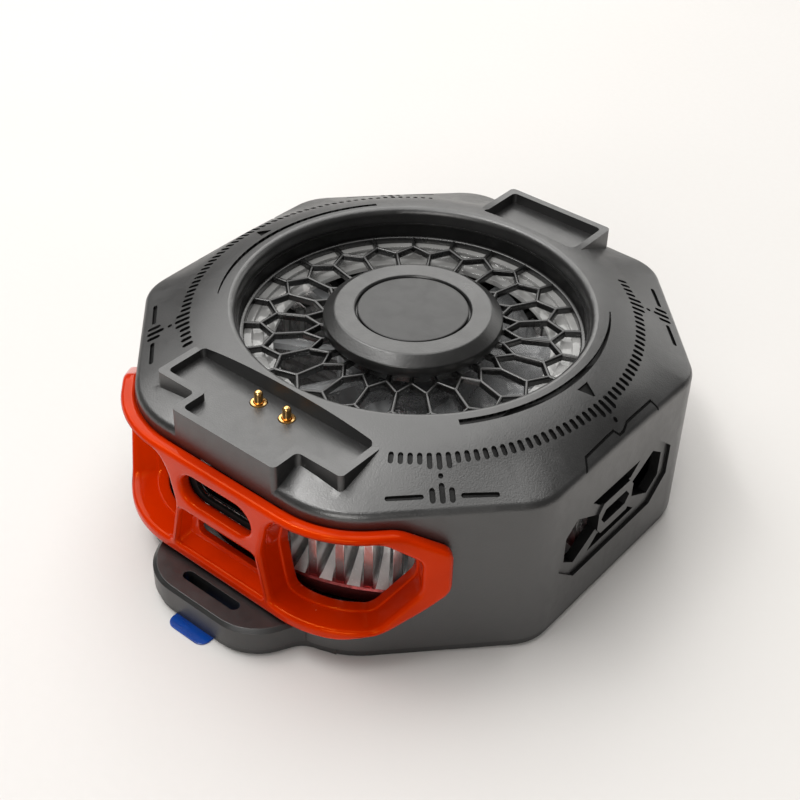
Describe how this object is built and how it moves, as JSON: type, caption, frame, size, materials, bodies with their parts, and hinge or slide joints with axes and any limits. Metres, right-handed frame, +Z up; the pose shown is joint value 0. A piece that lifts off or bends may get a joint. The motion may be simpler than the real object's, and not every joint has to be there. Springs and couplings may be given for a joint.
{
  "type": "phone cooling fan",
  "caption": "Magnetic cooler for the back of a phone: an axial fan under a web-like grille, a finned heat sink and a cooling plate in a low faceted housing with docks on top.",
  "frame": {"origin": "centre of the cooling face, on the underside of its protective film", "axes": "+Z up through the air intake, -Y to the front with the socket and the tab, +X to the right side"},
  "size_m": [0.06, 0.0701, 0.0251],
  "materials": {
    "cover_black": "satin",
    "bezel_orange": "gloss",
    "grille_black": "semi-gloss",
    "cap_black": "semi-gloss",
    "disc_black": "satin",
    "shroud_clear": "clear",
    "fan_grey": "translucent",
    "steel": "satin",
    "ferrite": "matte",
    "nylon": "satin",
    "bracket_grey": "satin",
    "bronze": "sintered",
    "lamination": "stamped",
    "copper": "enamelled",
    "board": "solder resist",
    "cast_aluminium": "as cast",
    "screw_steel": "plated",
    "ceramic_white": "matte",
    "pellet_grey": "semiconductor, matte",
    "foam": "foam",
    "plate_aluminium": "brushed",
    "magnet_nickel": "nickel plated",
    "base_black": "satin",
    "pad_silicone": "matte",
    "film_blue": "clear blue",
    "chip_black": "moulded",
    "socket_steel": "drawn",
    "tongue_black": "matte",
    "block_black": "matte",
    "contact_gold": "gold plated"
  },
  "bodies": {
    "housing": {"base_cover": "base_black", "bearing_sleeve": "bronze", "board_chips": "chip_black", "board_screws": "screw_steel", "cold_plate": "plate_aluminium", "contact_pad": "pad_silicone", "cover_screws": "screw_steel", "fan_bracket": "bracket_grey", "fan_shroud": "shroud_clear", "heat_sink": "cast_aluminium", "heat_sink_screws": "screw_steel", "hub_cap": "cap_black", "hub_disc": "disc_black", "intake_grille": "grille_black", "magnet_ring": "magnet_nickel", "magnet_shield": "steel", "main_board": "board", "motor_board": "board", "orange_bezel": "bezel_orange", "peltier_cold_plate": "ceramic_white", "peltier_gasket": "foam", "peltier_hot_plate": "ceramic_white", "peltier_pellets": "pellet_grey", "pogo_barrels": "contact_gold", "pogo_housing": "block_black", "pogo_spring_left": "steel", "pogo_spring_right": "steel", "protective_film": "film_blue", "stator_coils": "copper", "stator_core": "lamination", "top_cover": "cover_black", "usb_shell": "socket_steel", "usb_tongue": "tongue_black"},
    "rotor": {"fan_impeller": "fan_grey", "rotor_yoke": "steel", "rotor_magnet": "ferrite", "fan_shaft": "steel", "shaft_clip": "nylon"},
    "left_contact": {"pogo_pin_left": "contact_gold"},
    "right_contact": {"pogo_pin_right": "contact_gold"}
  },
  "joints": [
    {"name": "fan_spin", "type": "hinge", "parent": "housing", "child": "rotor", "pos_m": [0, 0, 0.0125], "axis": [0, 0, 1], "continuous": true},
    {"name": "pogo_left_press", "type": "slide", "parent": "housing", "child": "left_contact", "axis": [0, 0, -1], "range_m": [0, 0.0012], "stiffness_N_per_m": 500, "deforming": ["pogo_spring_left"]},
    {"name": "pogo_right_press", "type": "slide", "parent": "housing", "child": "right_contact", "axis": [0, 0, -1], "range_m": [0, 0.0012], "stiffness_N_per_m": 500, "deforming": ["pogo_spring_right"]}
  ]
}
